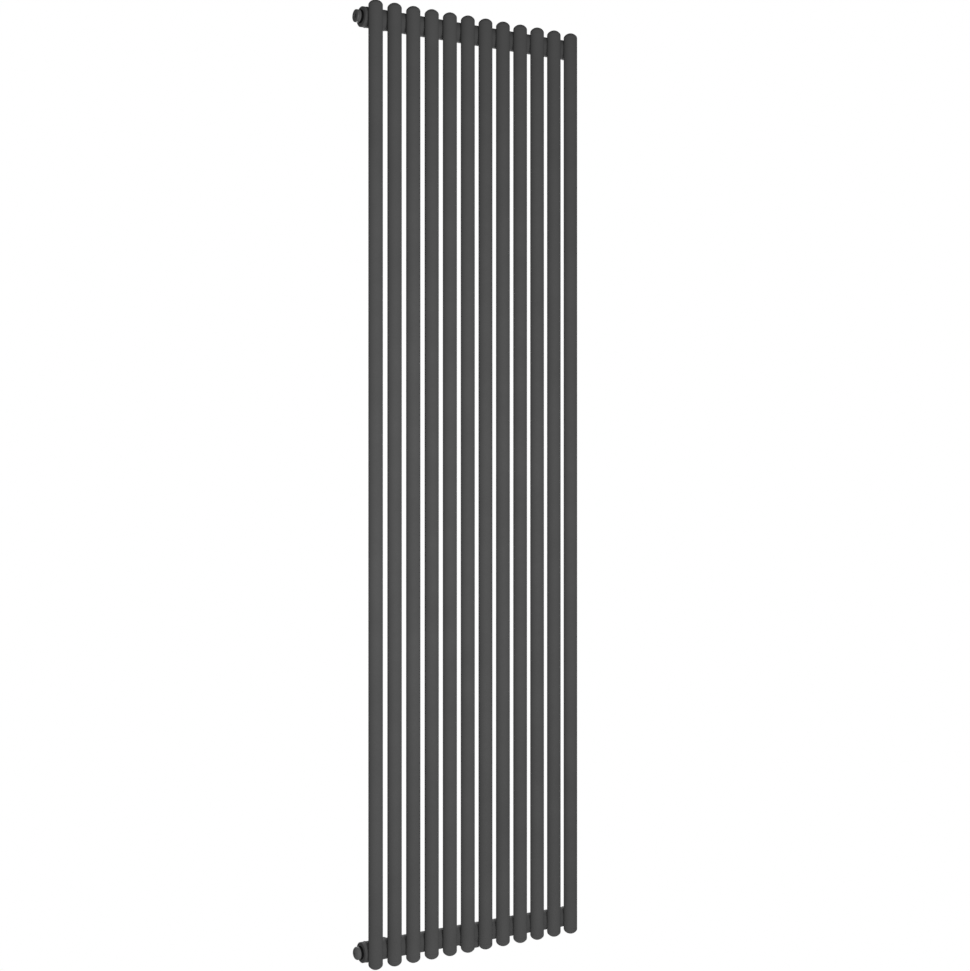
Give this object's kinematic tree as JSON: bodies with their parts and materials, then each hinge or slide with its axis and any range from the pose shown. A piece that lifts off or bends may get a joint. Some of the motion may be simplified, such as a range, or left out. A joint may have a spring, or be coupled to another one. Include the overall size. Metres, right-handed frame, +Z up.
{
  "type": "vertical tube radiator",
  "caption": "Tall wall-hung radiator: round vertical tubes on two headers, with an air vent, a blanking plug, open ports and wall sockets that it slides onto.",
  "frame": {"origin": "on the wall plane, at the centre of the four wall fixings, at the radiator's mid-height and mid-width", "axes": "+Z up along the tubes, +Y into the wall, so the front faces -Y; +X along the headers towards the open pipe ports"},
  "size_m": [0.4853, 0.0975, 1.8],
  "materials": {
    "powder_coat": "matte anthracite powder coat on steel",
    "bracket_steel": "matte anthracite powder coat on steel",
    "vent_plastic": "matte anthracite moulded plastic",
    "seal_rubber": "black rubber",
    "black_nickel": "black nickel plate, satin",
    "brass": "turned brass",
    "zinc_steel": "bright zinc-plated steel"
  },
  "bodies": {
    "wall_brackets": {"wall_socket_bottom_left": "bracket_steel", "wall_socket_bottom_right": "bracket_steel", "wall_socket_top_left": "bracket_steel", "wall_socket_top_right": "bracket_steel", "grub_screws": "zinc_steel"},
    "radiator": {"cap_bottom_01": "powder_coat", "cap_bottom_02": "powder_coat", "cap_bottom_03": "powder_coat", "cap_bottom_04": "powder_coat", "cap_bottom_05": "powder_coat", "cap_bottom_06": "powder_coat", "cap_bottom_07": "powder_coat", "cap_bottom_08": "powder_coat", "cap_bottom_09": "powder_coat", "cap_bottom_10": "powder_coat", "cap_bottom_11": "powder_coat", "cap_bottom_12": "powder_coat", "cap_top_01": "powder_coat", "cap_top_02": "powder_coat", "cap_top_03": "powder_coat", "cap_top_04": "powder_coat", "cap_top_05": "powder_coat", "cap_top_06": "powder_coat", "cap_top_07": "powder_coat", "cap_top_08": "powder_coat", "cap_top_09": "powder_coat", "cap_top_10": "powder_coat", "cap_top_11": "powder_coat", "cap_top_12": "powder_coat", "collar_bottom_left": "powder_coat", "collar_bottom_right": "powder_coat", "collar_top_left": "powder_coat", "collar_top_right": "powder_coat", "header_bottom": "powder_coat", "header_top": "powder_coat", "lower_stay": "powder_coat", "plug_body": "powder_coat", "plug_seal_ring": "seal_rubber", "stay_pad": "seal_rubber", "tube_01": "powder_coat", "tube_02": "powder_coat", "tube_03": "powder_coat", "tube_04": "powder_coat", "tube_05": "powder_coat", "tube_06": "powder_coat", "tube_07": "powder_coat", "tube_08": "powder_coat", "tube_09": "powder_coat", "tube_10": "powder_coat", "tube_11": "powder_coat", "tube_12": "powder_coat", "vent_body": "powder_coat", "vent_seal_ring": "seal_rubber", "wall_spigot_bottom_left": "powder_coat", "wall_spigot_bottom_right": "powder_coat", "wall_spigot_top_left": "powder_coat", "wall_spigot_top_right": "powder_coat"},
    "vent_nozzle": {"vent_nozzle": "vent_plastic"},
    "vent_seal": {"vent_seal_tip": "brass"},
    "bleed_screw": {"bleed_screw": "black_nickel"}
  },
  "joints": [
    {"name": "radiator_depth", "type": "slide", "parent": "wall_brackets", "child": "radiator", "axis": [0, -1, 0], "range_m": [0, 0.012]},
    {"name": "vent_nozzle_swivel", "type": "hinge", "parent": "radiator", "child": "vent_nozzle", "pos_m": [-0.2475, -0.055, 0.8735], "axis": [-1, 0, 0], "continuous": true},
    {"name": "bleed_screw_travel", "type": "slide", "parent": "radiator", "child": "vent_seal", "axis": [-1, 0, 0], "range_m": [0, 0.001]},
    {"name": "bleed_screw_turn", "type": "hinge", "parent": "vent_seal", "child": "bleed_screw", "pos_m": [-0.2475, -0.055, 0.8735], "axis": [-1, 0, 0], "range_deg": [0, 360]}
  ],
  "couplings": [
    {"joint": "bleed_screw_turn", "follows": "bleed_screw_travel", "rad_per_m": 6283.2}
  ]
}
